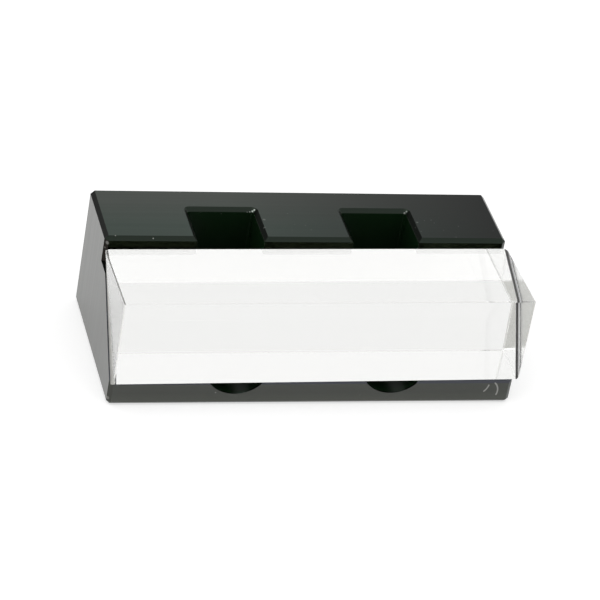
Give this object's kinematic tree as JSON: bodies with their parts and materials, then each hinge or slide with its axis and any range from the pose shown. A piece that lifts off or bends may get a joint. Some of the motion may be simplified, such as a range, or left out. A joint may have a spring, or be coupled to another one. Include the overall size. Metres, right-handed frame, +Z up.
{
  "type": "right angle prism on a holder",
  "caption": "Long right angle prism, mirror coated on its long face and bonded to the 45 degree seat of a black anodised bar with screw pockets.",
  "frame": {"origin": "middle of the underside of the whole assembly, on the surface that it stands on", "axes": "+X along the bar, -Y the front where the prism's upright square face looks out, +Z up where its other square face looks"},
  "size_m": [0.0655, 0.0292, 0.0207],
  "materials": {
    "black_anodised": "fine-milled aluminium, black anodised, satin",
    "optical_glass": "optically polished faces with fine ground edge bevels",
    "silvering": "evaporated mirror coating with black protective paint behind",
    "adhesive": "thin cured black optical adhesive"
  },
  "bodies": {
    "root": {"holder": "black_anodised", "prism": "optical_glass", "mirror_coating": "silvering", "adhesive_pad_1": "adhesive", "adhesive_pad_2": "adhesive", "adhesive_pad_3": "adhesive"}
  },
  "joints": []
}
